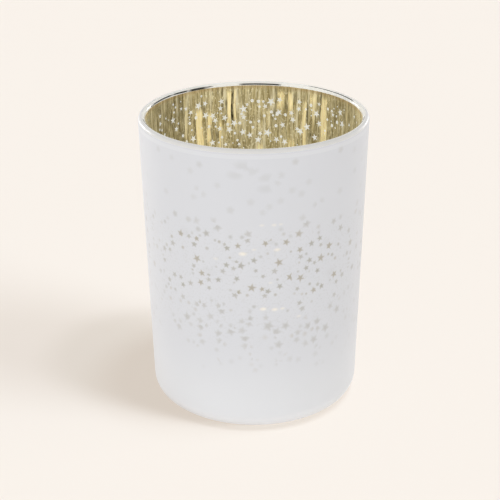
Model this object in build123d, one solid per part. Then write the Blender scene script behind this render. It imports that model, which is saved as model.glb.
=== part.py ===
from build123d import *

import math
import os

# A glass tealight holder: a tapered, round-cornered tumbler of clear glass with a rounded bare lip,
# a gold mirror film on the inside and a white lacquer coat on the outside. A tealight stands loose
# on its floor: an aluminium cup that lifts out, and a wax candle that lifts out of the cup with its
# wick and the wick's tin sustainer.
#
# Frame: origin on the table at the axis, +Z up. Everything is round about Z. Millimetres.

# Tumbler
height = 100.0
lip_diameter = 75.8  # outside the glass, at the top
foot_diameter = 70.3  # where the side wall, carried straight down, would meet the table
wall = 2.25
lip_flat = 0.02  # left between the lip's two roundings, so that they don't meet in one edge
floor_thickness = 7.0
foot_corner = 6.5  # outside radius between wall and foot
cavity_corner = 6.0  # inside radius between wall and floor
punt_radius = 23.0  # the shallow dome under the foot, inside the bearing ring
punt_depth = 1.2

# Coats
gold_film = 0.05
lacquer = 0.10
bare_lip = 1.15  # clear glass left above the lacquer's top edge
bare_foot = 0.3  # height of the lacquer's lower edge above the table

# Tealight cup
cup_diameter = 37.8
cup_height = 15.5
cup_sheet = 0.2
cup_corner = 1.0  # outside radius between the cup's floor and its side
cup_inside_corner = 0.8
bead_radius = 0.45  # the cup's rolled rim
boss_radius = 9.0  # the raised middle of the cup's floor
boss_height = 0.4

# Candle
wax_height = 13.6  # above the cup's base
wax_clearance = 0.25  # between the wax and the cup's wall, and round the cup's boss
wax_corner = 1.0  # rounding of the wax's lower edge
wax_edge = 0.5  # rounding of its upper edge
sustainer_radius = 8.0
sustainer_sheet = 0.3
neck_radius = 1.6
neck_height = 3.0
wick_radius = 0.9
wick_above_wax = 7.0

overrun = 1.0  # how far a cutting section passes beyond the face that it cuts

# Worked out from the driving dimensions
taper = (lip_diameter - foot_diameter) / 2 / height
wall_angle = math.atan(taper)
lip_radius = (wall - lip_flat) / 2
seat_height = floor_thickness + gold_film  # the film's floor, where the tealight stands
cup_radius = cup_diameter / 2


def wall_radius(z, inset):
    """The side wall's radius at height z, moved inwards by inset, square to the wall."""
    return foot_diameter / 2 + z * taper - inset / math.cos(wall_angle)


def outline(*points):
    """A closed half section with straight sides, given as (radius, height) points."""
    return make_face(Polyline(*points, close=True))


def rounded(section, point, radius):
    """The section with the corner nearest to the point rounded."""
    corner = section.vertices().sort_by_distance(point)[0]
    return fillet(corner, radius)


def turned(section):
    """The solid made by a full turn of a half section about Z."""
    return revolve(Plane.XZ * section, axis=Axis.Z)


def envelope(inset, floor, top, corner):
    """Half section of the tumbler's tapered form, solid to the axis, its wall moved in by inset."""
    foot = (wall_radius(floor, inset), floor)
    section = outline((0, floor), foot, (wall_radius(top, inset), top), (0, top))
    return rounded(section, foot, corner)


def punt():
    """Half section of the shallow dome that is hollowed out under the foot."""
    crown = (0, punt_depth)
    edge = (punt_radius, 0)
    dome = TangentArc(crown, edge, tangent=(1, 0))
    sides = Polyline(edge, (punt_radius, -overrun), (0, -overrun), crown)
    return make_face([dome, sides])


def glass_tumbler():
    section = envelope(0, 0, height, foot_corner)
    section -= envelope(wall, floor_thickness, height + overrun, cavity_corner)
    for inset in (0, wall):
        section = rounded(section, (wall_radius(height, inset), height), lip_radius)
    return turned(section - punt())


def gold_plating():
    """The mirror film, on the wall up to the lip's rounding and over the whole floor."""
    top = height - lip_radius
    outer = envelope(wall, floor_thickness, top, cavity_corner)
    inner = envelope(wall + gold_film, seat_height, top, cavity_corner - gold_film)
    return turned(outer - inner)


def white_lacquer():
    """The sprayed coat, from below the bare lip round the foot's corner, clear of the table."""
    top = height - bare_lip
    outer = envelope(-lacquer, -lacquer, top, foot_corner + lacquer)
    glass = envelope(0, 0, top, foot_corner)
    below = Pos(0, bare_foot) * Rectangle(lip_diameter, height, align=(Align.CENTER, Align.MAX))
    return turned(outer - glass - below)


def aluminium_cup():
    """A drawn foil cup with a raised boss in its floor and a rim rolled outwards."""
    inside = cup_radius - cup_sheet
    bead_height = cup_height - bead_radius
    boss_inside = boss_radius + cup_sheet
    section = outline(
        (0, boss_height),
        (boss_radius, boss_height),
        (boss_radius, 0),
        (cup_radius, 0),
        (cup_radius, bead_height),
        (inside, bead_height),
        (inside, cup_sheet),
        (boss_inside, cup_sheet),
        (boss_inside, boss_height + cup_sheet),
        (0, boss_height + cup_sheet),
    )
    section = rounded(section, (cup_radius, 0), cup_corner)
    section = rounded(section, (inside, cup_sheet), cup_inside_corner)
    bead = Pos(inside + bead_radius, bead_height) * Circle(bead_radius)
    return turned(section + bead)


def wick_sustainer():
    """A tin disc on the cup's boss with a crimped neck that holds the wick upright."""
    base = boss_height + cup_sheet
    section = outline(
        (0, base),
        (sustainer_radius, base),
        (sustainer_radius, base + sustainer_sheet),
        (neck_radius, base + sustainer_sheet),
        (neck_radius, base + sustainer_sheet + neck_height),
        (wick_radius, base + sustainer_sheet + neck_height),
        (wick_radius, base + sustainer_sheet),
        (0, base + sustainer_sheet),
    )
    return turned(section)


def wick():
    bottom = boss_height + cup_sheet + sustainer_sheet
    top = wax_height + wick_above_wax
    section = outline((0, bottom), (wick_radius, bottom), (wick_radius, top), (0, top))
    return turned(section)


def wax():
    """The wax cast round the sustainer and the wick, loose in the cup."""
    outside = cup_radius - cup_sheet - wax_clearance
    recess = boss_radius + cup_sheet + wax_clearance
    base = boss_height + cup_sheet
    section = outline(
        (0, base),
        (recess, base),
        (recess, cup_sheet),
        (outside, cup_sheet),
        (outside, wax_height),
        (0, wax_height),
    )
    section = rounded(section, (outside, cup_sheet), wax_corner)
    section = rounded(section, (outside, wax_height), wax_edge)
    return turned(section) - wick_sustainer() - wick()


def main():
    on_seat = Pos(0, 0, seat_height)
    nodes = {
        "glass_tumbler": glass_tumbler(),
        "gold_plating": gold_plating(),
        "white_lacquer": white_lacquer(),
        "aluminium_cup": on_seat * aluminium_cup(),
        "wax": on_seat * wax(),
        "wick": on_seat * wick(),
        "wick_sustainer": on_seat * wick_sustainer(),
    }
    os.makedirs("parts", exist_ok=True)
    for name, shape in nodes.items():
        export_step(shape, f"parts/{name}.step")


main()
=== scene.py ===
import math
import random

import bmesh
import bpy
from mathutils import Matrix, Quaternion, Vector
from mathutils.geometry import delaunay_2d_cdt


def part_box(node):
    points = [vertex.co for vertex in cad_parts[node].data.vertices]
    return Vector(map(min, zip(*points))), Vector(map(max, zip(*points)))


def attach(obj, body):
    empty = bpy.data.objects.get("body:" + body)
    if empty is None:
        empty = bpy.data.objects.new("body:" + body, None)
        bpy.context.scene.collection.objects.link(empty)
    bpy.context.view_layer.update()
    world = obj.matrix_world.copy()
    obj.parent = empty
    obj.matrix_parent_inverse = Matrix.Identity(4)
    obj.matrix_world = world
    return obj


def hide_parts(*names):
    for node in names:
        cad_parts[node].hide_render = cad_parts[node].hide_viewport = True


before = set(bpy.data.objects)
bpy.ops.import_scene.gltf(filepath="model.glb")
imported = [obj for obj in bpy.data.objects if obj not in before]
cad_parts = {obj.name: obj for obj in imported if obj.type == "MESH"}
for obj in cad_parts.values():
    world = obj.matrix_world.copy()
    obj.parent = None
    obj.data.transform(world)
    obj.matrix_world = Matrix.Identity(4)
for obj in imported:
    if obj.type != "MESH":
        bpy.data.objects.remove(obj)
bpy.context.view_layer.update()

# A tealight holder: a glass tumbler with a star-pierced gold mirror film inside and a white lacquer
# coat outside, and the tealight that stands in it. Blender's unit is the metre; the sizes below are
# in millimetres, on the CAD model's own dimensions, and turn into metres as a mesh is made.
MM = 0.001


def cad_size(node):
    """Lowest and highest corner of a CAD node, in millimetres."""
    low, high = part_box(node)
    return low / MM, high / MM


def heights(node):
    """A CAD node's lowest and highest height, in millimetres."""
    return [corner.z for corner in cad_size(node)]


# Tumbler
HEIGHT = heights("glass_tumbler")[1]
LIP_DIAMETER = 75.8
FOOT_DIAMETER = 70.3
WALL = 2.25
FLOOR = 7.0
FOOT_CORNER = 6.5
CAVITY_CORNER = 6.0
PUNT_RADIUS = 23.0
PUNT_DEPTH = 1.2
TAPER = (LIP_DIAMETER - FOOT_DIAMETER) / 2 / HEIGHT
TILT = math.atan(TAPER)
LIP_FLAT = 0.02  # left between the lip's two roundings
LIP_RADIUS = (WALL - LIP_FLAT) / 2

# Coats
GOLD_FILM = 0.05
GOLD_TOP = heights("gold_plating")[1]
LACQUER = 0.10
LACQUER_FOOT, LACQUER_TOP = heights("white_lacquer")
BOND = 0.01  # clearance that keeps two bonded faces apart
EDGE_ROUNDING = 0.05  # of the lacquer's upper edge

# Tealight
SEAT, CUP_TOP = heights("aluminium_cup")
CUP_RADIUS = 18.9
CUP_SHEET = 0.2
CUP_CORNER = 1.0  # outside radius between the cup's floor and its side
CUP_INSIDE_CORNER = 0.8
BEAD = 0.45
BOSS_RADIUS = 9.0
BOSS_HEIGHT = 0.4
WAX_TOP = heights("wax")[1]
WAX_RADIUS = cad_size("wax")[1].x
WAX_CLEARANCE = 0.25
WAX_GAP = 0.02  # keeps the wax apart from the tin and the cup
WAX_CORNER = 1.0
WICK_RADIUS = cad_size("wick")[1].x
WICK_FOOT, WICK_TOP = heights("wick")
TIN_FOOT, TIN_TOP = heights("wick_sustainer")
TIN_RADIUS = cad_size("wick_sustainer")[1].x
TIN_SHEET = 0.3
NECK_RADIUS = 1.6

SEGMENTS = 256  # round the tumbler
UNROLLED = (LIP_DIAMETER + FOOT_DIAMETER) / 4  # the radius at which the wall is unrolled flat
GIRTH = 2 * math.pi * UNROLLED


def ramp(value, start, end):
    """How far a value is on its way from start to end, from 0 to 1."""
    return min(1.0, max(0.0, (value - start) / (end - start)))


def polar(radius, angle, centre=(0, 0)):
    """The point at a radius and an angle, in radians, from a centre."""
    return (centre[0] + radius * math.cos(angle), centre[1] + radius * math.sin(angle))


def wall_radius(z, inset):
    """The wall's radius at height z, moved in by inset, square to the wall."""
    return FOOT_DIAMETER / 2 + z * TAPER - inset / math.cos(TILT)


# ---- outlines of turned pieces


def arc(centre, radius, start, end, steps):
    """Points (radius, height) along an arc; angles in degrees from outward, anticlockwise."""
    turns = [math.radians(start + (end - start) * i / steps) for i in range(steps + 1)]
    return [polar(radius, turn, centre) for turn in turns]


def corner(inset, floor, radius, steps=12):
    """The rounded corner from a floor up into the tapered wall."""
    centre = (wall_radius(floor + radius, inset + radius), floor + radius)
    return arc(centre, radius, -90, -math.degrees(TILT), steps)


def lip():
    """The glass lip, from the outer wall over the top to the inner wall."""
    tilt = math.degrees(TILT)
    z = HEIGHT - LIP_RADIUS
    outer = (wall_radius(z, LIP_RADIUS), z)
    inner = (wall_radius(z, WALL - LIP_RADIUS), z)
    return arc(outer, LIP_RADIUS, -tilt, 90, 14) + arc(inner, LIP_RADIUS, 90, 180 - tilt, 36)


def punt():
    """The dome under the foot, from the axis out to the bearing ring."""
    radius = (PUNT_RADIUS**2 + PUNT_DEPTH**2) / (2 * PUNT_DEPTH)
    end = math.degrees(math.acos(PUNT_RADIUS / radius))
    return arc((0, PUNT_DEPTH - radius), radius, 90, end, 8)


# ---- meshes


def turn_outline(bm, outline, segments, closed):
    """Adds the surface that an outline sweeps round the axis."""
    rings = []
    for r, z in outline:
        if r < 1e-6:
            rings.append([bm.verts.new((0, 0, z * MM))])
            continue
        places = [polar(r * MM, 2 * math.pi * i / segments) for i in range(segments)]
        rings.append([bm.verts.new((*place, z * MM)) for place in places])
    join_rings(bm, rings + rings[:1] if closed else rings)


def join_rings(bm, rings):
    """Adds faces between each ring of vertices and the next. A ring of one is a point."""
    for low, high in zip(rings, rings[1:]):
        count = max(len(low), len(high))
        for i in range(count):
            j = (i + 1) % count
            if len(low) == 1 and len(high) > 1:
                bm.faces.new((low[0], high[j], high[i]))
            elif len(high) == 1 and len(low) > 1:
                bm.faces.new((low[i], low[j], high[0]))
            elif len(low) > 1:
                bm.faces.new((low[i], low[j], high[j], high[i]))


def add_bmesh(target, source):
    """Copies one bmesh into another, frees it and returns the new vertices."""
    copies = {v: target.verts.new(v.co) for v in source.verts}
    for face in source.faces:
        target.faces.new([copies[v] for v in face.verts])
    source.free()
    return list(copies.values())


def finished_mesh(bm, name, materials, crease=40):
    """A mesh object from a bmesh, smooth but for edges sharper than the crease angle."""
    bmesh.ops.recalc_face_normals(bm, faces=bm.faces)
    mesh = bpy.data.meshes.new(name)
    bm.to_mesh(mesh)
    bm.free()
    mesh.shade_smooth()
    mesh.set_sharp_from_angle(angle=math.radians(crease))
    for material in materials:
        mesh.materials.append(material)
    piece = bpy.data.objects.new(name, mesh)
    bpy.context.scene.collection.objects.link(piece)
    return piece


def turned_piece(name, materials, outline, segments=SEGMENTS, closed=False):
    """A piece that is an outline swept round the axis."""
    bm = bmesh.new()
    turn_outline(bm, outline, segments, closed)
    return finished_mesh(bm, name, materials)


# ---- stars

# Stars told apart in the photograph: (degrees round from the front, height, size across). Places and
# sizes were read off a grid laid over enlarged crops; some may be left from a first list, which
# a program converted from picked points. Tones, brown, grey or faint, were judged
# too, and a program matched them to the nearest stars and split the list by them.
BROWN_STARS = (
    (-39, 69.2, 2.9), (-29.5, 68.9, 2.2), (-8.1, 68.1, 2), (-29.7, 61.9, 3), (-27.2, 57.1, 2.5),
    (-28, 53.7, 2.3), (-1.5, 53.6, 3.1), (-8.2, 51.9, 2.2), (5.3, 69, 2.3), (7.7, 69.4, 2.3),
    (15.5, 68.9, 2.4), (22, 71.2, 2.4), (40, 64.5, 3.2), (22.7, 65.6, 2.2), (34.9, 61.1, 3.1),
    (11.9, 62.1, 3), (17.8, 56.6, 3), (23.3, 55.7, 3), (44.4, 53.5, 2.9), (3.6, 53.1, 1.7),
    (31.1, 50.3, 2.3), (57.7, 62, 2.4),
)
GREY_STARS = (
    (-24, 71.3, 2.2), (-31, 66.7, 2.3), (-13.5, 67.1, 2.2), (-14, 61.2, 2.2), (-6.8, 61.3, 2.9),
    (-18.4, 55.7, 2.1), (-39.1, 51.1, 2), (-8.9, 56.7, 2), (-17, 44.6, 2.4), (-37.3, 39.8, 2.8),
    (-28.8, 37.5, 2.6), (-2.4, 42.6, 2), (-12.4, 37.6, 2.5), (-19, 36.3, 2), (-5.2, 35.3, 2.6),
    (-18.2, 73.9, 2.4), (-0.4, 63.2, 2.2), (29, 67, 2.2), (33.8, 68.1, 2), (28.2, 61.3, 2.1),
    (26.4, 58.8, 2), (33, 56.9, 1.9), (12.5, 53.7, 2.2), (6.5, 52.2, 2.2), (35.9, 50.9, 2.2),
    (23.2, 46.7, 2), (24.7, 44.6, 2.2), (33.9, 38.4, 2.2), (28.3, 37.7, 2.3), (15.7, 39.3, 2.4),
    (6.9, 39.7, 3.5), (10.9, 37.4, 2.9), (47.9, 40, 2.5), (25.8, 74.2, 2.3), (39.6, 35, 2.8),
    (12.2, 32.6, 2.6), (32.1, 32.1, 2.6), (-11.5, 80.1, 3.3), (30.7, 80, 2.2), (-42.3, 75.5, 2.4),
)
FAINT_STARS = (
    (-34, 69.1, 2), (-45, 64.8, 2.5), (-14.6, 68.3, 1.4), (-8.9, 62.5, 1.5), (-10.5, 60.2, 1.7),
    (-31.7, 59, 1.8), (-23.5, 57, 1.6), (-23.5, 55.3, 2.1), (-15.9, 58.9, 2), (-34.2, 52.5, 2.2),
    (-44.9, 53.6, 2.3), (-49.1, 51, 2), (-40.4, 53.6, 1.8), (-23.4, 52.3, 1.6), (-9.9, 50.8, 3),
    (-39.6, 46.6, 2.2), (-30.7, 45.5, 2.3), (-29, 46.6, 1.6), (-26.7, 45.7, 2.2),
    (-18.6, 46.4, 2.2), (-23.2, 42.1, 2.5), (-29.2, 39.6, 2.3), (-2.9, 40.7, 2), (-6.7, 41.5, 1.6),
    (-6.7, 38.2, 2.4), (-18.5, 33.6, 1.9), (-5.1, 32.6, 2.4), (-28.5, 32.2, 2.2), (-43.5, 35, 2.4),
    (-52.5, 57.3, 1.8), (-52, 61.5, 2.2), (-47.5, 62, 1.6), (-3.1, 72.2, 2.2), (-3.5, 70.1, 2),
    (34.6, 65.7, 1.5), (23.1, 63.1, 2), (31.1, 60, 1.5), (42.4, 60.9, 1.4), (9.8, 59.2, 2.2),
    (51.1, 51.9, 2.2), (46.4, 50.4, 1.8), (4.9, 50.7, 2), (33.5, 51.9, 1.7), (21.7, 52, 1.6),
    (45.3, 45.9, 2), (22.4, 36.1, 2.2), (5.5, 42.8, 1.6), (42.6, 42.3, 2.2), (48, 69.2, 2.6),
    (55.5, 66.7, 2), (54.7, 58.8, 1.8), (0.5, 59.6, 1.4), (4.1, 57.6, 1.5), (34.2, 35.8, 2),
    (27.2, 31.5, 2.1), (22, 33.5, 1.8), (18.5, 26.8, 2), (23, 26, 2), (33.5, 26.5, 2),
    (-1.8, 83, 3), (6.9, 81.3, 2.5), (4, 79.5, 2.2), (12.5, 83.1, 2.5), (-25.1, 84.4, 2.5),
    (-28.2, 86, 2.2), (-30.4, 83, 1.9), (-17.6, 88, 2), (-31.6, 91.5, 2.5), (12.6, 91.5, 2.8),
    (10.9, 89.2, 2.5), (17.9, 86.2, 2.6), (22.9, 84.6, 3), (34.2, 80.9, 2.6), (46.2, 82.3, 3),
    (26.6, 88.2, 2.2), (-48, 82.2, 2.4), (-33.9, 74.9, 2.4), (-29.4, 75.1, 1.8), (-19.9, 75.9, 1.6),
    (23.8, 76.3, 1.8), (42.6, 72.5, 1.8),
)
# The wall that shows through the mouth, read the same way: (degrees round from the back, height, size)
BACK_STARS = (
    (-52, 90.5, 2.9), (-64, 94, 2.2), (-64, 91.3, 2.2), (-49.5, 87, 2.4), (-41.5, 93.2, 2),
    (-45, 93.6, 1.7), (-38.3, 91.4, 2.3), (-33, 93.2, 3.1), (-28.6, 93.6, 2.4), (-28.4, 89.3, 3),
    (-37.2, 81.7, 3), (-42, 81.3, 1.8), (-24, 88.7, 2.8), (-18.5, 93.6, 2.6), (-19.2, 91.1, 2.3),
    (-22.5, 86.9, 2.5), (-16.7, 87.5, 2.8), (-11.2, 85.3, 3), (-15, 85, 1.9), (-19.9, 83.7, 2.3),
    (-14.1, 83, 3.1), (-6.2, 81.8, 2.8), (-2.1, 80.6, 2.6), (-5.7, 90.3, 3.4), (-5.6, 87.3, 2.4),
    (6.9, 91.3, 2.2), (10.2, 93, 3.4), (3.9, 81.2, 2.3), (8.3, 81.6, 3.4), (2.8, 78.9, 2.9),
    (-24.6, 78.9, 2.8), (-16.5, 77.6, 2), (-8.4, 77.3, 1.9), (-26.5, 85, 1.9), (15.2, 93.9, 2.4),
    (14.9, 89.3, 2.9), (22.4, 89.5, 2.3), (27.3, 93.9, 2.4), (27, 91.3, 2.3), (23.4, 87.1, 2.6),
    (17.2, 84.8, 2.6), (26.1, 83.9, 2), (28.2, 83.2, 3.2), (32.5, 85.3, 3.2), (38.7, 90.7, 3.1),
    (40.8, 87.4, 2.7), (40.3, 94.4, 1.8), (38, 82, 2.9), (13.6, 79.2, 2.7), (18.6, 78.6, 2.7),
    (57.3, 93.8, 3), (59.4, 90, 3.2), (51, 92, 1.9), (50.1, 93.2, 1.7), (73, 95, 2), (67, 91, 1.8),
)
# Dots among them
BACK_DOTS = (
    (-0.6, 93.3, 1.3), (3, 93, 1.3), (5.8, 93, 1), (3.6, 91.1, 1), (6.4, 87.8, 1.1),
    (3.2, 85.7, 1.1), (-0.2, 83.5, 1.1), (-7.9, 85.2, 1.2), (10.5, 89.3, 1.2), (13.3, 84.3, 1.3),
    (16.4, 80.4, 1.1), (34.8, 93.4, 1.3), (46.9, 93.5, 1.1), (50.6, 88.1, 1.3), (54.8, 89.9, 1.4),
    (-39.2, 87.6, 1.3), (-34.8, 89.1, 1.3), (-44.6, 83.8, 1.2), (-6.7, 88.5, 1),
    (13.8, 88.5, 1.2), (18.8, 88.6, 1.2), (-3.5, 91.9, 1), (-1.5, 85.4, 1.1),
)
BROWN_MARK = (0.8, 0.66)  # how strong and how brown the mark's painted shade is
GREY_MARK = (0.76, 0.22)
FAINT_MARK = (0.56, 0.3)
STAR = 5  # points
DOT = 4
STAR_LOWEST = 11.0
STAR_HIGHEST = 96.5
# Scattered openings: (how many to try, smallest, largest, points)
SCATTERED = (
    (80, 2.5, 3.0, STAR), (320, 1.6, 2.3, STAR), (380, 0.8, 1.05, DOT), (380, 0.45, 0.7, DOT),
)
STAR_GAP = 0.22  # least clear space between two openings
FRONT = -90  # degrees from +X
BACK = 90
SEAM = math.pi / 2 + math.radians(84)  # where the unrolled wall is cut, between openings
WAIST = 0.38  # a star's inner corners, as a share of its points' reach
FRONT_WIDTH = 58  # how far round from the front the stars are listed, in degrees
FRONT_HEIGHTS = (24, 92)  # between which they are
MOUTH_WIDTH = 66  # how far round from the back the wall shows through the mouth, in degrees
MOUTH_LOWEST = 76


def around(degrees, start):
    """Distance along the unrolled wall from the seam to a direction, in degrees from start."""
    angle = math.radians(start + degrees)
    return ((angle - SEAM) % (2 * math.pi)) * UNROLLED


class Opening:
    """A star or a dot that is pierced in the gold film. Distances on the unrolled wall."""

    def __init__(self, along, height, size, corners, turn, mark=None):
        self.along = along
        self.height = height
        self.reach = size / 2
        self.corners = corners
        self.turn = turn
        self.mark = mark  # how strong and how brown the painted shade of its mark on the lacquer is, where that is known

    def clear_of(self, other, gap):
        distance = math.hypot(self.along - other.along, self.height - other.height)
        return distance > self.reach + other.reach + gap

    def from_front(self):
        """How far round from the front it is, from 0 to 180 degrees."""
        degrees = math.degrees(self.along / UNROLLED + SEAM) - FRONT
        return abs((degrees + 180) % 360 - 180)

    def outline(self, scale=1.0, grow=0.0):
        """Its corners: ten for a star, eight for a dot."""
        points = []
        count = 2 * self.corners
        for i in range(count):
            inner = self.corners == STAR and i % 2
            reach = self.reach * scale * (WAIST if inner else 1) + grow
            turn = self.turn + 2 * math.pi * i / count
            points.append(polar(reach, turn, (self.along, self.height)))
        return points


def among_listed_stars(opening):
    """Whether an opening is where no star is scattered: in front, or seen through the mouth."""
    degrees = opening.from_front()
    low, high = FRONT_HEIGHTS
    in_front = degrees < FRONT_WIDTH and low < opening.height < high
    in_mouth = 180 - degrees < MOUTH_WIDTH and opening.height > MOUTH_LOWEST
    return in_front or in_mouth


def star_field():
    """Every opening: the listed stars, then scattered stars and dots that keep clear of all."""
    rng = random.Random(615)
    full_turn = 2 * math.pi
    front_groups = ((BROWN_STARS, BROWN_MARK), (GREY_STARS, GREY_MARK), (FAINT_STARS, FAINT_MARK))
    placed = []
    for stars, mark in front_groups:
        for degrees, height, size in stars:
            turn = rng.uniform(0, full_turn)
            placed.append(Opening(around(degrees, FRONT), height, size, STAR, turn, mark))
    for degrees, height, size in BACK_STARS:
        turn = rng.uniform(0, full_turn)
        placed.append(Opening(around(-degrees, BACK), height, size, STAR, turn))
    for degrees, height, size in BACK_DOTS:
        placed.append(Opening(around(-degrees, BACK), height, size, DOT, 0.0))
    for count, low, high, corners in SCATTERED:
        found = 0
        while found < count:
            along = rng.uniform(high, GIRTH - high)
            height = rng.uniform(STAR_LOWEST, STAR_HIGHEST)
            size = rng.uniform(low, high)
            new = Opening(along, height, size, corners, rng.uniform(0, full_turn))
            if corners == STAR and among_listed_stars(new):
                found += 1
            elif all(new.clear_of(old, STAR_GAP) for old in placed):
                placed.append(new)
                found += 1
    return placed


# ---- the unrolled wall

ROW_STEP = 3.0  # between the grid points' rows
CELL = 5.0  # the polygons are filed by squares of this size, to find those near a point
POLYGON_MARGIN = 0.02  # grid points keep this clear of the circle round a polygon


def triangulated_wall(low, high, columns, polygons, extra=()):
    """Triangulates the unrolled wall between two heights with polygons cut into it.

    extra holds more points to use. Returns the points (along, height), the triangles, and for
    each triangle the numbers of the polygons that it lies in.
    """
    rows = round((high - low) / ROW_STEP)
    grid = []
    for row in range(rows + 1):
        for column in range(columns + 1):
            grid.append(Vector((GIRTH * column / columns, low + (high - low) * row / rows)))
    grid.extend(Vector(p) for p in extra)
    points, faces = [], []
    cells = {}
    for polygon in polygons:
        corners = [Vector(p) for p in polygon]
        faces.append(list(range(len(points), len(points) + len(corners))))
        points.extend(corners)
        centre = sum(corners, Vector((0, 0))) / len(corners)
        reach = max((p - centre).length for p in corners)
        for i in range(int((centre.x - reach) // CELL), int((centre.x + reach) // CELL) + 1):
            for j in range(int((centre.y - reach) // CELL), int((centre.y + reach) // CELL) + 1):
                cells.setdefault((i, j), []).append((centre, reach))
    for p in grid:
        near = cells.get((int(p.x // CELL), int(p.y // CELL)), ())
        if all((p - centre).length > reach + POLYGON_MARGIN for centre, reach in near):
            points.append(p)
    made = delaunay_2d_cdt(points, [], faces, 0, 1e-5, True)
    return made[0], made[2], made[5]


def on_wall(point, inset):
    """Where a point of the unrolled wall is on the tumbler's cone."""
    along, z = point
    return Vector((*polar(wall_radius(z, inset), SEAM + along / UNROLLED), z)) * MM


def set_wall_normals(piece, low, high):
    """Gives the wall's vertices the cone's own normals, so that its triangles don't show."""
    mesh = piece.data
    normals = []
    for vertex in mesh.vertices:
        if low * MM - 1e-7 <= vertex.co.z <= high * MM + 1e-7:
            flat = Vector((vertex.co.x, vertex.co.y, 0)).normalized()
            sign = 1 if vertex.normal.dot(flat) > 0 else -1
            normals.append((flat * math.cos(TILT) - Vector((0, 0, math.sin(TILT)))) * sign)
        else:
            normals.append((0, 0, 0))
    mesh.normals_split_custom_set_from_vertices(normals)


def seam_turned(outline, columns):
    """A bmesh of an outline swept round the axis, with its first column at the seam."""
    turned = bmesh.new()
    turn_outline(turned, outline, columns, False)
    to_seam = Matrix.Rotation(SEAM, 3, "Z")
    bmesh.ops.rotate(turned, verts=turned.verts, cent=(0, 0, 0), matrix=to_seam)
    return turned


# ---- materials


class Shader:
    """A node material with one Principled surface, and short calls that add nodes to it."""

    def __init__(self, name, **fixed):
        self.material = bpy.data.materials.new(name)
        self.material.use_nodes = True
        self.tree = self.material.node_tree
        self.surface = self.tree.nodes["Principled BSDF"]
        self.to_surface(**fixed)

    def add(self, kind, fixed=None, **links):
        """Adds a node. fixed sets its properties, links its inputs, by value or from a socket."""
        node = self.tree.nodes.new("ShaderNode" + kind)
        for key, value in (fixed or {}).items():
            setattr(node, key, value)
        for key, value in links.items():
            self.feed(node.inputs[key], value)
        return node

    def feed(self, socket, value):
        if isinstance(value, bpy.types.NodeSocket):
            self.tree.links.new(value, socket)
        else:
            socket.default_value = value

    def to_surface(self, **links):
        """Feeds the surface's inputs, named with _ for a space."""
        for socket, value in links.items():
            self.feed(self.surface.inputs[socket.replace("_", " ")], value)

    def attribute(self, name, output="Fac"):
        return self.add("Attribute", {"attribute_name": name}).outputs[output]

    def noise(self, cells, detail=3.0, roughness=0.5):
        """A noise pattern. cells says how many cells there are to a metre each way."""
        here = self.add("TexCoord").outputs["Object"]
        where = self.add("Mapping", Vector=here, Scale=cells).outputs["Vector"]
        made = self.add("TexNoise", Vector=where, Detail=detail, Roughness=roughness, Scale=1.0)
        return made.outputs["Fac"]

    def between(self, value, low, high, to_low=0.0, to_high=1.0):
        """The value's way from low to high, clamped and eased, as a number in a new range."""
        made = self.add("MapRange", {"interpolation_type": "SMOOTHSTEP"}, Value=value)
        for socket, number in (
            ("From Min", low), ("From Max", high), ("To Min", to_low), ("To Max", to_high),
        ):
            made.inputs[socket].default_value = number
        return made.outputs["Result"]

    def math(self, operation, a, b=0.0):
        node = self.add("Math", {"operation": operation})
        self.feed(node.inputs[0], a)
        self.feed(node.inputs[1], b)
        return node.outputs[0]

    def mix(self, share, a, b, blend="MIX"):
        node = self.add("Mix", {"data_type": "RGBA", "blend_type": blend})
        self.feed(node.inputs[0], share)
        self.feed(node.inputs[6], a)
        self.feed(node.inputs[7], b)
        return node.outputs[2]

    def height(self):
        """Height above the table, in metres."""
        here = self.add("TexCoord").outputs["Object"]
        return self.add("SeparateXYZ", Vector=here).outputs["Z"]

    def bump(self, height, strength, distance):
        """Raises the surface by a pattern; distance in millimetres."""
        made = self.add("Bump", Height=height, Strength=strength, Distance=distance * MM)
        self.to_surface(Normal=made.outputs["Normal"])


def colour(red, green, blue):
    return (red, green, blue, 1.0)


CLEAR = colour(1, 1, 1)
BONDED_PAINTED_GLOW = 0.43  # painted glow, for the light that the lacquer lets through to the glass behind it
# painted glow of the lip's misted outer half
MISTED_PAINTED_GLOW = 0.27


def patterned(name, cells, detail, low, high, rough=None, relief=None, coarse=0.5, **fixed):
    """A material of one noise pattern: its two colours, its roughness range and its relief."""
    shader = Shader(name, **fixed)
    pattern = shader.noise(cells, detail, coarse)
    shader.to_surface(Base_Color=shader.mix(pattern, colour(*low), colour(*high)))
    if rough:
        shader.to_surface(Roughness=shader.between(pattern, 0.3, 0.7, *rough))
    if relief:
        shader.bump(pattern, *relief)
    return shader


def glass_material():
    """Clear soda-lime glass, with the faint ripple of a pressed tumbler."""
    return patterned(
        "clear_glass", (180, 180, 60), 1.0, (0.97, 1.0, 0.985), (1, 1, 1), relief=(0.15, 0.02),
        Roughness=0.0, IOR=1.5, Transmission_Weight=1.0,
    ).material


def sprayed_white_materials():
    """The lacquer seen from inside the glass, and the lip's outer half, misted by its spray. Both glow
    with painted light.
    """
    made = []
    for name, low, high, roughness, glow in (
        ("lacquer_behind_glass", (0.82, 0.82, 0.81), (0.90, 0.90, 0.88), 0.6, BONDED_PAINTED_GLOW),
        ("misted_lip", (0.64, 0.635, 0.63), (0.68, 0.675, 0.66), 0.3, MISTED_PAINTED_GLOW),
    ):
        fixed = {"Roughness": roughness, "Emission_Strength": glow}
        shader = patterned(name, (300, 300, 300), 2.0, low, high, **fixed)
        tone = shader.surface.inputs["Base Color"].links[0].from_socket
        shader.to_surface(Emission_Color=tone)
        made.append(shader.material)
    return made


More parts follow.
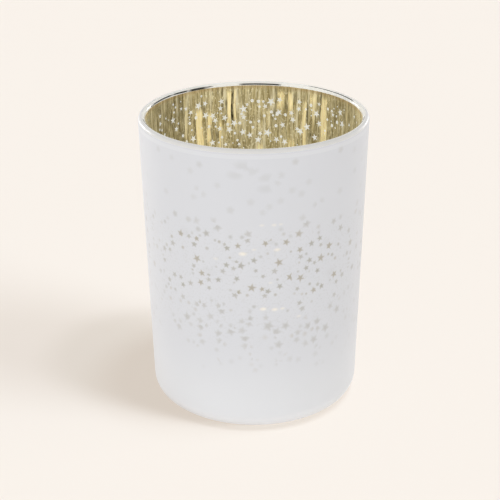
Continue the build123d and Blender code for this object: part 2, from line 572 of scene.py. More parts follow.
def lip_inside_material():
    """The inner rounding of the lip: clear glass, darkened in strokes that are painted reflections."""
    shader = Shader("lip_inside", Roughness=0.0, IOR=1.5)
    dark = shader.attribute("dark")
    shader.to_surface(Base_Color=shader.mix(dark, CLEAR, colour(0.02, 0.02, 0.015)))
    shader.to_surface(Transmission_Weight=shader.between(dark, 0.0, 1.0, 1.0, 0.0))
    return shader.material


GOLD_PAINTED_GLOW = 0.30  # painted glow, for the light that the thin film lets through from behind
GOLD_FLARE_PAINTED_GLOW = 0.48  # in its painted bright bands
GOLD_FRINGE = (97.2, 98.6)  # the film browns between these heights, at its upper edge
GOLD_DARK = colour(0.33, 0.28, 0.15)
GOLD_MID = colour(0.67, 0.61, 0.41)
GOLD_PALE = colour(0.95, 0.91, 0.74)
# painted highlight in the bright bands
GOLD_PAINTED_HIGHLIGHT = colour(1.0, 0.88, 0.55)
GOLD_BROWN = colour(0.50, 0.37, 0.20)
# painted dark reflection in the dark bands, and painted shade in the broad ones
GOLD_PAINTED_DARK = colour(0.02, 0.018, 0.012)


def gold_material():
    """Gold mirror film on drawn glass: fine upright streaks, partly its grain and partly painted
    reflection, brighter and darker in bands of painted highlight and painted dark reflection, with a
    painted glow.
    """
    shader = Shader("gold_mirror", Metallic=1.0)
    fine = shader.noise((2900, 2900, 190), 3.0, roughness=0.6)
    coarse = shader.noise((900, 900, 60), 3.0)
    cloud = shader.noise((150, 150, 120), 2.0)
    fleck = shader.noise((1700, 1700, 1000), 2.0)
    height = shader.height()
    olive = shader.mix(shader.between(fine, 0.40, 0.57), GOLD_DARK, GOLD_MID)
    # pale patches: painted ghost reflections
    pale = shader.mix(shader.between(coarse, 0.52, 0.72, 0.0, 0.7), olive, GOLD_PALE)
    flecked = shader.mix(shader.between(fleck, 0.56, 0.68, 0.0, 0.7), pale, GOLD_PALE)
    rib = shader.math("ADD", fine, coarse)
    streak = shader.between(fine, 0.42, 0.5, 0.6, 1)
    # painted highlights: the bright bands
    flare = shader.math("MULTIPLY", shader.attribute("flare"), streak)
    gap = shader.between(rib, 0.9, 1.15, 1, 0.45)
    # painted dark reflections and painted shade: the dark bands
    shade = shader.math("MULTIPLY", shader.attribute("shade"), gap)
    # darker in random cloudy patches
    clouded = shader.mix(shader.between(cloud, 0.45, 0.75, 0.0, 0.3), flecked, GOLD_DARK)
    low, high = GOLD_FRINGE
    fringe = shader.between(height, low * MM, high * MM, 0.0, 0.55)
    fringed = shader.mix(fringe, clouded, GOLD_BROWN)
    lit = shader.mix(flare, fringed, GOLD_PAINTED_HIGHLIGHT)
    film = shader.mix(shade, lit, GOLD_PAINTED_DARK)
    shader.to_surface(Base_Color=film)
    # painted glow: the film gives off light in its own colours, more in the bright bands
    shader.to_surface(Emission_Color=shader.mix(0.35, film, GOLD_PALE, blend="MULTIPLY"))
    glow = shader.between(shader.attribute("flare"), 0.0, 1.0, GOLD_PAINTED_GLOW, GOLD_FLARE_PAINTED_GLOW)
    shader.to_surface(Emission_Strength=glow)
    shader.to_surface(Roughness=shader.between(coarse, 0.3, 0.7, 0.22, 0.42))
    shader.bump(rib, 0.35, 0.03)
    return shader.material


LACQUER_COOL = colour(0.80, 0.835, 0.90)
LACQUER_WARM = colour(0.825, 0.855, 0.91)
LACQUER_SPECK = colour(0.55, 0.56, 0.55)
LACQUER_CORNER_SHADE = colour(0.72, 0.75, 0.80)  # painted shade on the foot's corner
LACQUER_PAINTED_LIGHT = colour(0.885, 0.92, 0.97)  # painted light, on the lower wall and on the line under the coat's upper edge
EDGE_LINE = (97.2, 98.2)  # a whiter line just under the coat's upper edge: a slightly thicker bead, with a painted highlight
EDGE_FADE = 0.3


def lacquer_material():
    """Satin white lacquer over frosted glass. The pierced stars show through as a tint: painted shade of
    the hollow behind them, with painted glints.
    """
    shader = Shader("white_lacquer", Coat_Weight=0.1, Coat_Roughness=0.35, Sheen_Weight=0.25)
    cloud = shader.noise((60, 60, 60), 3.0)
    grain = shader.noise((5200, 5200, 5200), 2.0)
    height = shader.height()
    white = shader.mix(cloud, LACQUER_COOL, LACQUER_WARM)
    low, high = EDGE_LINE
    line_low = shader.between(height, (low - EDGE_FADE) * MM, low * MM)
    line_high = shader.between(height, high * MM, (high + EDGE_FADE) * MM, 1, 0)
    line = shader.math("MULTIPLY", line_low, line_high)
    # painted light: the wall is lighter towards its foot
    lower_painted_light = shader.between(height, 8 * MM, 34 * MM, 0.9, 0)
    whiter = shader.math("MAXIMUM", shader.math("MULTIPLY", line, 0.55), lower_painted_light)
    white = shader.mix(whiter, white, LACQUER_PAINTED_LIGHT)
    # painted shade: darker on the foot's corner, under the wall
    under = shader.between(height, 0.5 * MM, 6 * MM, 0.4, 0)
    white = shader.mix(under, white, LACQUER_CORNER_SHADE)
    speck = shader.between(shader.noise((1500, 1500, 1500), 2.0), 0.52, 0.68)
    speck_low = shader.between(height, 22 * MM, 44 * MM, 0.0, 0.16)
    speck_high = shader.between(height, 68 * MM, 78 * MM, 1, 0)
    speck = shader.math("MULTIPLY", speck, shader.math("MULTIPLY", speck_low, speck_high))
    white = shader.mix(speck, white, LACQUER_SPECK)
    tinted = shader.mix(1.0, white, shader.attribute("tint", "Color"), blend="MULTIPLY")
    shader.to_surface(Base_Color=tinted)
    shader.to_surface(Roughness=shader.between(cloud, 0.3, 0.7, 0.46, 0.56))
    shader.bump(grain, 0.12, 0.01)
    return shader.material


def aluminium_material():
    """Drawn aluminium foil, with fine upright draw marks."""
    return patterned(
        "cup_aluminium", (2600, 2600, 160), 3.0, (0.70, 0.71, 0.72), (0.88, 0.89, 0.90),
        rough=(0.18, 0.34), relief=(0.3, 0.02), Metallic=1.0,
    ).material


WAX_WHITE = (0.94, 0.93, 0.90)
WAX_PAINTED_GLOW = 0.12  # painted glow, for the light that comes through the translucent wax from all round


def wax_material():
    """White paraffin wax, slightly mottled where it has set, with a painted glow."""
    return patterned(
        "white_wax", (420, 420, 420), 5.0, (0.86, 0.84, 0.78), WAX_WHITE,
        rough=(0.38, 0.55), relief=(0.25, 0.05), coarse=0.6,
        Subsurface_Weight=0.25, Subsurface_Radius=(0.9, 0.8, 0.6), Subsurface_Scale=2 * MM,
        Coat_Weight=0.15, Coat_Roughness=0.3,
        Emission_Color=colour(*WAX_WHITE), Emission_Strength=WAX_PAINTED_GLOW,
    ).material


def cotton_material():
    """Waxed cotton yarn."""
    return patterned(
        "cotton_wick", (5000, 5000, 1800), 4.0, (0.62, 0.57, 0.47), (0.88, 0.85, 0.77),
        relief=(0.5, 0.05), Roughness=0.8, Sheen_Weight=0.3,
    ).material


def tin_material():
    """Stamped tinplate."""
    return patterned(
        "tinplate", (1500, 1500, 400), 4.0, (0.52, 0.52, 0.53), (0.72, 0.72, 0.73),
        rough=(0.25, 0.45), relief=(0.2, 0.02), Metallic=1.0,
    ).material


# ---- tumbler

# The dark strokes are painted reflections, put into the glass's colour and transmission.
# Dark strokes on the lip's inner rounding. Each: where it starts and ends, in degrees from
# the back; where its middle is at its start and at its end, in degrees round the lip's section from
# outward over the top; and how wide it is at its start and at its end, in degrees of the section.
PAINTED_DARK_STROKES = (
    (-76, -50, 164, 150, 20, 26), (-52, -38, 150, 158, 26, 30), (-40, -26, 163, 160, 40, 42),
    (-29, -22, 158, 150, 30, 14), (-9, 17, 158, 157, 28, 28), (31, 70, 111, 128, 12, 20),
    (96, 138, 110, 140, 14, 24), (160, 200, 150, 120, 16, 20), (222, 262, 130, 104, 24, 14),
)
STROKE_FADE = 3.0  # degrees over which a stroke's ends fade
STROKE_EDGE = 5.0  # degrees of the rounding over which its sides fade


def soft_edge(off, half_width, fade):
    """1 within a half width of a middle line and 0 beyond it, with a fade across the edge."""
    return ramp(off, half_width + fade / 2, half_width - fade / 2)


def lip_painted_darkness(direction, turn):
    """How dark the painted reflections make the lip at a direction and a place on its rounding, from 0
    to 1.
    """
    value = 0.0
    for start, end, middle_start, middle_end, width_start, width_end in PAINTED_DARK_STROKES:
        past = (direction - start) % 360
        if past > end - start:
            continue
        share = past / (end - start)
        middle = middle_start + (middle_end - middle_start) * share
        width = width_start + (width_end - width_start) * share
        tip = min(1.0, past / STROKE_FADE, (end - start - past) / STROKE_FADE)
        value = max(value, tip * soft_edge(abs(turn - middle), width / 2, STROKE_EDGE))
    return value


def wall_point(z, inset):
    return (wall_radius(z, inset), z)


def glass_tumbler():
    """The tumbler. Its outer wall, where the lacquer is bonded to it, shows the lacquer's white."""
    outline = punt() + corner(0, 0, FOOT_CORNER)
    outline += [wall_point(FOOT_CORNER + 1, 0), wall_point(LACQUER_TOP - EDGE_ROUNDING, 0)] + lip()
    outline.append(wall_point(HEIGHT - 2 * LIP_RADIUS, WALL))
    outline.append(wall_point(FLOOR + CAVITY_CORNER + 1, WALL))
    outline += corner(WALL, FLOOR, CAVITY_CORNER)[::-1]
    outline += [(20, FLOOR), (10, FLOOR), (0, FLOOR)]
    materials = (glass_material(), *sprayed_white_materials(), lip_inside_material())
    piece = turned_piece("glass_tumbler", materials, outline)
    for face in piece.data.polygons:
        flat = Vector((face.center.x, face.center.y, 0))
        r = flat.length / MM
        z = face.center.z / MM
        outward = face.normal.dot(flat) > 0
        if outward and LACQUER_FOOT < z and r > wall_radius(0, FOOT_CORNER):
            face.material_index = 2 if z > LACQUER_TOP else 1
        if z > GOLD_TOP and not outward:
            face.material_index = 3
    # painted reflections: the dark strokes on the lip's inner rounding
    add_values(piece, "dark", painted_darkness_at)
    set_wall_normals(piece, FLOOR + CAVITY_CORNER, HEIGHT - LIP_RADIUS)
    return piece


def painted_darkness_at(x, y, z):
    """The value of the dark strokes, painted reflections, at a place on the tumbler."""
    lip_height = HEIGHT - LIP_RADIUS
    off = math.hypot(x, y) - wall_radius(lip_height, WALL - LIP_RADIUS)
    turn = math.degrees(math.atan2(z - lip_height, off))
    if z < GOLD_TOP - 0.1 or not 90 <= turn <= 182:
        return 0.0
    return lip_painted_darkness(math.degrees(math.atan2(x, y)), turn)


def add_values(piece, name, value_at):
    """Gives a piece's vertices a value each, worked out from their places."""
    layer = piece.data.attributes.new(name, "FLOAT", "POINT")
    layer.data.foreach_set("value", [value_at(*(v.co / MM)) for v in piece.data.vertices])


# The bands are painted light: the bright ones painted highlights, the narrow dark ones painted dark
# reflections, the broad dark ones painted shade.
# Bright and dark upright bands in the gold: (degrees from the back, half width in degrees, lowest,
# highest, strength). They were read off through the mouth, but for the last two dark ones, which
# are invented, on the side that the photograph hides.
PAINTED_BRIGHT_BANDS = (
    (-32.6, 2.2, 76, 91.5, 0.9), (-26.3, 1.4, 78, 90, 0.8), (-13.9, 1.3, 85.5, 97, 1),
    (-10.6, 0.6, 84, 97.5, 0.9), (-19.7, 0.6, 70, 86, 0.9), (15.8, 2.1, 90.7, 97, 1),
    (21.6, 1.3, 90, 96.5, 0.95), (30.6, 1, 60, 94, 0.9), (36.4, 2.2, 93, 97.4, 0.8),
    (36.4, 0.6, 85.5, 93, 0.7), (44, 2.2, 66, 97, 0.9), (22.5, 2, 60, 79.3, 0.6),
    (4, 1.4, 60, 77, 0.8), (-42, 0.7, 78, 96, 0.3), (9, 0.8, 84, 90, 0.3), (64, 0.8, 90, 98, 0.3),
)
PAINTED_DARK_BANDS = (
    (-12, 0.8, 85.5, 97, 1), (-15.8, 0.5, 86, 94, 0.8), (-21, 0.5, 95.5, 98.5, 0.7),
    (-17.7, 0.5, 94.5, 98.5, 0.7), (-17.8, 0.8, 91.7, 93.3, 1), (-22, 1, 80.5, 83.2, 0.8),
    (-22.5, 0.4, 88, 90, 0.8), (-24.8, 0.5, 79.5, 84.5, 0.9), (-29.3, 1.3, 90.7, 92.8, 0.8),
    (-38.8, 0.5, 88.5, 90.3, 0.8), (-35.4, 0.4, 82, 88.5, 0.8), (-41, 1.2, 93.6, 95.2, 0.5),
    (-40.5, 1, 96, 97.6, 0.4), (12, 0.5, 86.2, 91, 1), (13.2, 0.4, 91.5, 98, 0.8),
    (19.2, 0.6, 91.4, 93, 0.9), (24.6, 1.3, 94.3, 96.8, 0.8), (32.8, 0.6, 86.5, 94, 0.9),
    (41.4, 0.5, 89, 98, 0.8), (35, 0.7, 79.8, 83.5, 1), (-10.6, 0.4, 81.3, 82.6, 0.8),
    (-62, 19, 60, 99, 0.5), (64, 14, 60, 99, 0.25), (160, 16, 50, 99, 0.3),
    (-140, 14, 40, 99, 0.3),
)
BAND_COUNT = 46  # scattered bands on the rest of the wall
BAND_LOWEST = 18  # keeps them off the floor's corner
BAND_EDGE = math.radians(0.45)  # how far a band's edge fades
BAND_WANDER = math.radians(0.35)  # how far a band strays from upright
BAND_FINEST = 0.25  # degrees between the vertices that carry the bands where they show
UNSEEN = (math.radians(150), math.radians(390))  # from +X, where the scattered bands are


def bands(rng, placed, widest):
    """The listed bands and scattered ones, as (angle, half width, low, high, strength)."""
    made = []
    for degrees, width, low, high, strength in placed:
        made.append((math.radians(BACK - degrees), math.radians(width), low, high, strength))
    for _ in range(BAND_COUNT):
        angle = rng.uniform(*UNSEEN)
        high = rng.uniform(30, 97)
        low = max(BAND_LOWEST, high - rng.uniform(12, 60))
        width = math.radians(rng.uniform(0.6, widest))
        made.append((angle, width, low, high, rng.uniform(0.4, 0.9)))
    return made


def band_value(made, angle, z):
    """How strongly the bands cover a place on the wall, from 0 to 1."""
    value = 0.0
    for centre, width, low, high, strength in made:
        wander = BAND_WANDER * math.sin(0.45 * z + 40 * centre)
        off = abs((angle + wander - centre + math.pi) % (2 * math.pi) - math.pi)
        if off > width + BAND_EDGE or z < low - 3 or z > high + 1:
            continue
        up = ramp(z, low - 2.5, low + 2.5) * ramp(z, high + 1, high - 1)
        value = max(value, strength * soft_edge(off, width, BAND_EDGE) * up)
    return value


def mouth_points():
    """Close points where the wall shows through the mouth, to carry narrow bands."""
    rows, row_step, lowest = 17, 1.35, 75.7
    steps = round((MOUTH_WIDTH - 1) / BAND_FINEST)
    points = []
    for row in range(rows):
        for step in range(-steps, steps + 1):
            points.append((around(step * BAND_FINEST, BACK), lowest + row_step * row))
    return points


GOLD_WALL_FOOT = FLOOR + CAVITY_CORNER + 0.5
GOLD_COLUMNS = 2 * SEGMENTS


def add_pierced_wall(bm, openings):
    """Adds the film's wall: a skin each side, and sides round the openings and along the top."""
    low = GOLD_WALL_FOOT
    outlines = [opening.outline() for opening in openings]
    points, triangles, inside = triangulated_wall(
        low, GOLD_TOP, GOLD_COLUMNS, outlines, mouth_points()
    )
    kept = [t for t, cover in zip(triangles, inside) if not cover]
    used = sorted({i for t in kept for i in t})
    skins = []
    for inset in (WALL + GOLD_FILM, WALL + BOND):
        skin = {i: bm.verts.new(on_wall(points[i], inset)) for i in used}
        skins.append(skin)
        for a, b, c in kept:
            bm.faces.new((skin[a], skin[b], skin[c]))
    sides = {}
    for triangle in kept:
        for a, b in zip(triangle, triangle[1:] + triangle[:1]):
            sides[frozenset((a, b))] = sides.get(frozenset((a, b)), 0) + 1
    for side, count in sides.items():
        a, b = side
        pa, pb = points[a], points[b]
        on_seam = abs(pa.x - pb.x) < 1e-4 and min(pa.x, GIRTH - pa.x) < 1e-3
        on_foot = abs(pa.y - low) < 1e-4 and abs(pb.y - low) < 1e-4
        if count == 1 and not on_seam and not on_foot:
            bm.faces.new((skins[0][a], skins[0][b], skins[1][b], skins[1][a]))


def gold_plating(openings):
    """The mirror film: a thin closed shell, pierced by every opening, with painted bands of light and
    shade.
    """
    bm = bmesh.new()
    add_pierced_wall(bm, openings)
    for thickness in (GOLD_FILM, BOND):
        inset, floor = WALL + thickness, FLOOR + thickness
        bowl = [(0, floor), (10, floor), (20, floor)]
        bowl += corner(inset, floor, CAVITY_CORNER - thickness)
        bowl.append(wall_point(GOLD_WALL_FOOT, inset))
        add_bmesh(bm, seam_turned(bowl, GOLD_COLUMNS))
    bmesh.ops.remove_doubles(bm, verts=bm.verts, dist=1e-6)
    piece = finished_mesh(bm, "gold_plating", [gold_material()], crease=60)
    rng = random.Random(23)
    bright = bands(rng, PAINTED_BRIGHT_BANDS, 2.6)
    dark = bands(rng, PAINTED_DARK_BANDS, 1.3)
    add_values(piece, "flare", lambda x, y, z: band_value(bright, math.atan2(y, x), z))
    add_values(piece, "shade", lambda x, y, z: band_value(dark, math.atan2(y, x), z))
    set_wall_normals(piece, GOLD_WALL_FOOT, GOLD_TOP)
    return piece


# What the lacquer's colour is multiplied by in a mark of full strength: painted shade in an opening's
# mark, painted highlight in a glint
MARK_TAUPE = (0.51, 0.50, 0.425)
MARK_BROWN = (0.58, 0.48, 0.32)
GLINT = (1.34, 1.24, 1.06)
# Painted highlights, warm glints of light through the lacquer: (degrees from the front, height, width,
# strength)
GLINTS = (
    (3.5, 75.2, 1.4, 0.35), (9.5, 75.1, 1.8, 0.4), (12.5, 75.2, 1.4, 0.3), (-5.8, 65.4, 2.6, 0.8),
    (11, 66.6, 2.1, 0.65), (-0.3, 66.9, 1.4, 0.35), (-19.4, 63, 1.6, 0.3), (4.2, 46, 2.0, 0.9),
    (10, 45.6, 2.0, 0.8), (14, 45.7, 1.5, 0.5), (22.9, 42, 1.6, 0.35), (7.8, 55.2, 1.3, 0.3),
)
# Broad faint darker patches: (degrees from the front, height, width, strength)
DARK_PATCHES = (
    (-5.5, 94.8, 7, 0.14), (-9, 91.8, 6, 0.13), (-0.8, 93.2, 6, 0.11), (5.3, 87.4, 6, 0.13),
    (5, 91, 6, 0.13), (-36, 70, 7, 0.07), (-24, 58, 8, 0.07), (38, 66, 8, 0.07), (20, 57, 7, 0.06),
    (42, 55, 7, 0.06), (-10, 52, 6, 0.07), (8, 69.2, 6, 0.1),
)
DOT_STRENGTH = 0.6  # how dark a dot shows, as a share of a star
PATCH_FLATNESS = 0.55  # a glint's or a darker patch's height, as a share of its width
MARK_GROWTH = 0.38  # how far a mark fades out beyond its opening
MARK_CORE = 0.52  # the part of a mark that has its full tone, as a share of its opening
SOFT_GROWTH = 0.8  # how much farther a wholly soft mark fades out
SOFT_CORE = 0.2  # how much smaller its core is
OUTLINE_LOSS = 0.62  # how much of its strength a mark loses at the photographed outline
OUTLINE_SOFTNESS = 0.45  # how much softer it is there
FAINTEST_MARK = 0.04


def mark_strength(z):
    """How dark an opening shows through the lacquer at height z, from 0 to 1."""
    rise = 0.55 * ramp(z, 20, 34) + 0.45 * ramp(z, 44, 50)
    return rise * (0.22 + 0.78 * ramp(z, 78, 69))


def mark_softness(z):
    """How blurred an opening shows through the lacquer, from 0, sharp, to 1."""
    return max(ramp(z, 69, 77), min(0.6, ramp(z, 48, 32)))


def at_outline(opening):
    """How near a mark is to the photographed outline, where marks hardly show, from 0 to 1."""
    degrees = opening.from_front()
    return ramp(degrees, 46, 64) * ramp(degrees, 98, 88)


def patch_outline(place, reach):
    """The outline of a glint or a darker patch: a flat ellipse on the unrolled wall."""
    round_it = [2 * math.pi * i / 16 for i in range(16)]
    up = reach * PATCH_FLATNESS
    return [(place[0] + reach * math.cos(a), place[1] + up * math.sin(a)) for a in round_it]


def in_glint(opening):
    """Whether a dot lies in one of the painted glints, which outshine it."""
    if opening.corners != DOT:
        return False
    for degrees, height, width, _ in GLINTS:
        across = abs(opening.along - around(degrees, FRONT))
        up = abs(opening.height - height)
        if across < width / 2 + opening.reach and up < width / 3 + opening.reach:
            return True
    return False


def marks(openings):
    """Each mark on the lacquer, an opening's painted shade, a painted glint or a darker patch: its faded
    outer outline, its core's outline and the core's tone.
    """
    rng = random.Random(41)
    made = []
    for opening in openings:
        strength = rng.uniform(0.45, 1.0)
        brown = rng.random() ** 2
        if opening.mark:
            strength, brown = opening.mark
        strength *= mark_strength(opening.height) * (1 - OUTLINE_LOSS * at_outline(opening))
        if opening.corners == DOT:
            strength *= DOT_STRENGTH
        soft = mark_softness(opening.height)
        lost = soft > 0.6 and opening.reach < 0.7
        if strength <= FAINTEST_MARK or lost or in_glint(opening):
            continue
        soft = min(1.0, soft + OUTLINE_SOFTNESS * at_outline(opening))
        outer = opening.outline(1.0, MARK_GROWTH + SOFT_GROWTH * soft)
        core = opening.outline(MARK_CORE - SOFT_CORE * soft)
        full = [t + (b - t) * brown for t, b in zip(MARK_TAUPE, MARK_BROWN)]
        made.append((outer, core, full, strength))
    for full, patches in ((GLINT, GLINTS), (MARK_TAUPE, DARK_PATCHES)):
        for degrees, height, width, strength in patches:
            place = (around(degrees, FRONT), height)
            outer = patch_outline(place, width / 2 + MARK_GROWTH)
            made.append((outer, patch_outline(place, width / 6), full, strength))
    return [(outer, core, [1 + (part - 1) * s for part in full]) for outer, core, full, s in made]


def marked_wall(low, high, openings):
    """The lacquer's outer wall: its points, its triangles and the tint of each marked point."""
    outlines, tones = [], []
    for outer, core, tone in marks(openings):
        outlines += [outer, core]
        tones += [None, tone]
    points, triangles, inside = triangulated_wall(low, high, SEGMENTS, outlines)
    tints = {}
    for triangle, cover in zip(triangles, inside):
        for number in cover:
            if tones[number]:
                tints.update((i, tones[number]) for i in triangle)
    return points, triangles, tints


def white_lacquer(openings):
    """The lacquer coat: a thin closed shell whose outside carries the marks of the openings."""
    low = FOOT_CORNER + 0.5
    high = LACQUER_TOP - EDGE_ROUNDING
    points, triangles, tints = marked_wall(low, high, openings)
    bm = bmesh.new()
    layer = bm.verts.layers.float_color.new("tint")
    verts = []
    for i, point in enumerate(points):
        vertex = bm.verts.new(on_wall(point, -LACQUER))
        vertex[layer] = (*tints.get(i, (1, 1, 1)), 1)
        verts.append(vertex)
    for a, b, c in triangles:
        bm.faces.new((verts[a], verts[b], verts[c]))
    middle = -(LACQUER + BOND) / 2
    bead = arc((wall_radius(high, middle), high), (LACQUER - BOND) / 2, 0, 180, 6)
    rest = [wall_point(high, -LACQUER)] + bead + [wall_point(high, -BOND), wall_point(low, -BOND)]
    rest += lacquer_foot(BOND)[::-1] + lacquer_foot(LACQUER) + [wall_point(low, -LACQUER)]
    for vertex in add_bmesh(bm, seam_turned(rest, SEGMENTS)):
        vertex[layer] = CLEAR
    bmesh.ops.remove_doubles(bm, verts=bm.verts, dist=1e-6)
    piece = finished_mesh(bm, "white_lacquer", [lacquer_material()], crease=60)
    set_wall_normals(piece, low, high)
    return piece


def lacquer_foot(thickness):
    """The coat's face round the foot corner, from its lower edge up to the wall."""
    whole = corner(-thickness, -thickness, FOOT_CORNER + thickness, 16)
    return [p for p in whole if p[1] > LACQUER_FOOT]


# ---- tealight


def aluminium_cup():
    """The drawn cup: a raised boss in its floor and a side with a rolled rim."""
    inside = CUP_RADIUS - CUP_SHEET
    rim = CUP_TOP - BEAD
    boss = SEAT + BOSS_HEIGHT
    base = SEAT + CUP_SHEET
    under = [(0, boss), (BOSS_RADIUS - 0.4, boss), (BOSS_RADIUS - 0.1, boss - 0.1)]
    under += [(BOSS_RADIUS, SEAT + 0.1), (BOSS_RADIUS + 0.2, SEAT)]
    under += arc((CUP_RADIUS - CUP_CORNER, SEAT + CUP_CORNER), CUP_CORNER, -90, 0, 8)
    bead = arc((inside + BEAD, rim), BEAD, -60, 180, 18)
    over = [(0, boss + CUP_SHEET), (BOSS_RADIUS + 0.1, boss + CUP_SHEET), (BOSS_RADIUS + 0.3, base)]
    centre = (inside - CUP_INSIDE_CORNER, base + CUP_INSIDE_CORNER)
    over += arc(centre, CUP_INSIDE_CORNER, -90, 0, 8)
    outline = under + [(CUP_RADIUS, rim - 0.6), (CUP_RADIUS, rim - 0.42)] + bead + over[::-1]
    return turned_piece("aluminium_cup", [aluminium_material()], outline, 192)


def wax():
    """The wax, with the dip it sets with and a collar drawn up at the wick and the wall."""
    recess = BOSS_RADIUS + CUP_SHEET + WAX_CLEARANCE
    under = SEAT + BOSS_HEIGHT + CUP_SHEET + WAX_GAP
    over_tin = under + TIN_SHEET
    base = SEAT + CUP_SHEET + WAX_GAP
    neck, tin = NECK_RADIUS + WAX_GAP, TIN_RADIUS + WAX_GAP
    outline = [(WICK_RADIUS + 0.05, TIN_TOP), (neck, TIN_TOP), (neck, over_tin), (tin, over_tin)]
    outline += [(tin, under), (recess, under), (recess, base)]
    outline += arc((WAX_RADIUS - WAX_CORNER, base + WAX_CORNER), WAX_CORNER, -90, 0, 8)
    top = []
    steps = 40
    for i in range(steps + 1):
        r = WICK_RADIUS + 0.05 + (WAX_RADIUS - 0.35 - WICK_RADIUS) * (1 - i / steps)
        dip = 0.55 + 0.15 * math.cos(r / WAX_RADIUS * math.pi)
        collar = 0.45 * math.exp(-(r - WICK_RADIUS) / 0.8)
        shoulder = 0.5 * math.exp(-(WAX_RADIUS - r) / 0.7)
        top.append((r, WAX_TOP - max(0.05, dip - collar - shoulder)))
    outline += [(WAX_RADIUS, WAX_TOP - 0.6), (WAX_RADIUS - 0.08, WAX_TOP - 0.3)] + top
    return turned_piece("wax", [wax_material()], outline, 160, closed=True)


def wick():
    """A braided wick: two sets of yarns that cross, with a rounded, slightly leaning end."""
    bm = bmesh.new()
    columns, rows = 48, 150
    low = WICK_FOOT + 0.01
    rings = []
    for row in range(rows + 1):
        z = low + (WICK_TOP - low) * row / rows
        close = min(1.0, (WICK_TOP - z) / 0.5)
        lean = 0.35 * max(0.0, (z - WAX_TOP) / (WICK_TOP - WAX_TOP)) ** 2
        ring = []
        for i in range(columns):
            angle = 2 * math.pi * i / columns
            left = abs(math.cos(2 * angle + 1.5 * z))
            right = abs(math.cos(2 * angle - 1.5 * z))
            r = WICK_RADIUS * (0.74 + 0.24 * max(left, right)) * (0.35 + 0.65 * math.sqrt(close))
            ring.append(bm.verts.new(Vector((*polar(r, angle, (lean, 0)), z)) * MM))
        rings.append(ring)
    join_rings(bm, rings)
    bm.faces.new(rings[0][::-1])
    bm.faces.new(rings[-1])
    return finished_mesh(bm, "wick", [cotton_material()], crease=70)


def wick_sustainer():
    """The tin disc and its neck, crimped in flutes against the wick."""
    base = TIN_FOOT + 0.01
    plate = base + TIN_SHEET
    outline = [(0, base), (TIN_RADIUS - 0.1, base), (TIN_RADIUS, base + 0.1)]
    outline += [(TIN_RADIUS, plate - 0.1), (TIN_RADIUS - 0.1, plate)]
    outline += [(NECK_RADIUS + 0.4, plate), (NECK_RADIUS, plate + 0.4)]
    outline += [(NECK_RADIUS, TIN_TOP - 0.1), (NECK_RADIUS - 0.1, TIN_TOP)]
    outline += [(WICK_RADIUS + 0.12, TIN_TOP), (WICK_RADIUS + 0.03, TIN_TOP - 0.1)]
    outline += [(WICK_RADIUS + 0.03, plate), (0, plate)]
    bm = bmesh.new()
    turn_outline(bm, outline, 96, False)
    for vertex in bm.verts:
        flat = Vector((vertex.co.x, vertex.co.y, 0))
        r = flat.length / MM
        if vertex.co.z / MM > plate + 0.2 and r > NECK_RADIUS - 0.2:
            angle = math.atan2(vertex.co.y, vertex.co.x)
            pinch = 1 - 0.12 * (0.5 + 0.5 * math.cos(6 * angle))
            vertex.co.x *= pinch
            vertex.co.y *= pinch
    return finished_mesh(bm, "wick_sustainer", [tin_material()])


# ---- studio

FLOOR_SIDE = 14.0  # metres
FLOOR_DROP = 0.02  # millimetres that keep it off the foot
FLOOR_DARK = (0.099, 0.099, 0.099)
FLOOR_PALE = (0.101, 0.101, 0.101)
FLOOR_GLOW = colour(0.633, 0.560, 0.487)  # most of its brightness; the suns add the rest


def floor():
    """A plain pale floor, wide enough to fill any view."""
    bm = bmesh.new()
    bmesh.ops.create_grid(bm, x_segments=8, y_segments=8, size=FLOOR_SIDE / 2)
    shader = patterned(
        "floor", (9, 9, 9), 2.0, FLOOR_DARK, FLOOR_PALE, Roughness=0.9, Specular_IOR_Level=0.0,
        Emission_Color=FLOOR_GLOW, Emission_Strength=1.0,
    )
    piece = finished_mesh(bm, "floor", [shader.material])
    piece.location.z = -FLOOR_DROP * MM
    return piece


def sun(name, azimuth, elevation, strength, spread, tint, lights):
    """A soft distant light from a direction: azimuth 0 is from the camera's side, 90 from +X.

    It lights only the pieces named in lights.
    """
    light = bpy.data.lights.new(name, "SUN")
    light.energy = strength
    light.color = tint
    light.angle = math.radians(spread)
    lamp = bpy.data.objects.new(name, light)
    a, e = math.radians(azimuth), math.radians(elevation)
    toward = Vector((math.sin(a) * math.cos(e), -math.cos(a) * math.cos(e), math.sin(e)))
    lamp.rotation_mode = "QUATERNION"
    lamp.rotation_quaternion = toward.to_track_quat("Z", "Y")
    bpy.context.scene.collection.objects.link(lamp)
    lit = bpy.data.collections.new(name + "_lights")
    for piece in lights:
        lit.objects.link(piece)
    lamp.light_linking.receiver_collection = lit


SKY = colour(1.0, 0.99, 0.98)
SKY_STRENGTH = 0.44  # as a light
STUDIO_STRENGTH = 0.95  # as it is mirrored and seen through glass
BACKDROP = colour(0.956, 0.896, 0.831)  # as the camera sees it beyond the floor


def sky():
    """The plain surroundings."""
    world = bpy.data.worlds.new("studio")
    world.use_nodes = True
    bpy.context.scene.world = world
    tree = world.node_tree
    background = tree.nodes["Background"]
    background.inputs["Color"].default_value = SKY
    background.inputs["Strength"].default_value = SKY_STRENGTH
    rays = tree.nodes.new("ShaderNodeLightPath")
    for ray, tint, strength in (
        ("Is Glossy Ray", SKY, STUDIO_STRENGTH),
        ("Is Transmission Ray", SKY, STUDIO_STRENGTH),
        ("Is Camera Ray", BACKDROP, 1.0),
    ):
        other = tree.nodes.new("ShaderNodeBackground")
        other.inputs["Color"].default_value = tint
        other.inputs["Strength"].default_value = strength
        mixed = tree.nodes.new("ShaderNodeMixShader")
        tree.links.new(rays.outputs[ray], mixed.inputs[0])
        tree.links.new(background.outputs[0], mixed.inputs[1])
        tree.links.new(other.outputs[0], mixed.inputs[2])
        background = mixed
    tree.links.new(background.outputs[0], tree.nodes["World Output"].inputs["Surface"])


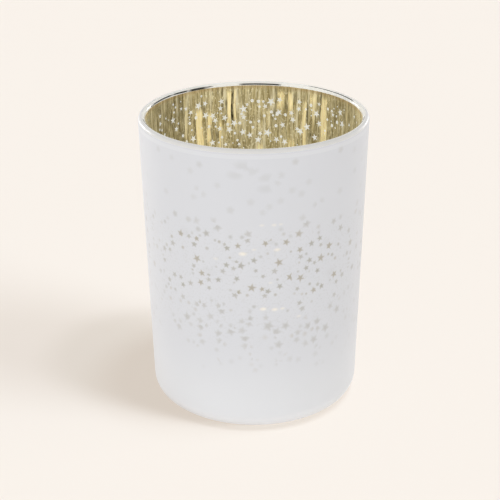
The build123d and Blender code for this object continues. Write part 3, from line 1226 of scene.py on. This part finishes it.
def camera():
    """The camera, in front and above, with a long lens: fitted to the photographed outline."""
    distance, elevation, roll = 455.0, math.radians(23.35), -0.0059
    target = Vector((-1.45, 0, 50.85))
    back = Vector((0, -math.cos(elevation), math.sin(elevation)))
    data = bpy.data.cameras.new("camera")
    data.lens = 95.5
    data.sensor_width = 36.0
    data.clip_start = 0.01
    data.clip_end = 100.0
    lens = bpy.data.objects.new("camera", data)
    bpy.context.scene.collection.objects.link(lens)
    lens.location = (target + back * distance) * MM
    lens.rotation_mode = "QUATERNION"
    lens.rotation_quaternion = (-back).to_track_quat("-Z", "Y")
    lens.rotation_quaternion.rotate(Quaternion(back, roll))
    bpy.context.scene.camera = lens


# ---- assembly


def stands_for(piece, node, body):
    """Puts a visible piece in its CAD node's place."""
    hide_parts(node)
    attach(piece, body)
    return piece


openings = star_field()
pieces = [
    stands_for(glass_tumbler(), "glass_tumbler", "holder"),
    stands_for(gold_plating(openings), "gold_plating", "holder"),
    stands_for(white_lacquer(openings), "white_lacquer", "holder"),
    stands_for(aluminium_cup(), "aluminium_cup", "tealight_cup"),
    stands_for(wax(), "wax", "candle"),
    stands_for(wick(), "wick", "candle"),
    stands_for(wick_sustainer(), "wick_sustainer", "candle"),
]

ground = floor()
sky()
# The first four make the shadow on the floor, and are fitted to the photograph's. The others are given.
sun("key", 60.7, 66, 2.16, 8, (1.04, 1.0, 1.07), [ground])
sun("side", 90, 45, 0.6, 22, (1.1, 1.0, 0.8), [ground])
sun("low", 69, 6, 34.5, 30, (0.95, 1.0, 1.02), [ground])
sun("high", 76, 79, 2.58, 11, (0.87, 1.0, 1.07), [ground])
sun("front", -5, 25, 0.75, 110, (1.0, 1.0, 1.0), pieces)
sun("left", -80, 8, 0.26, 60, (1.0, 1.0, 1.0), pieces)
sun("left rim", -136, 0, 1.3, 24, (1.0, 0.99, 0.97), pieces)
sun("right rim", 142, 0, 0.75, 24, (1.0, 1.0, 1.0), pieces)
camera()
bpy.context.scene.view_settings.view_transform = "Standard"
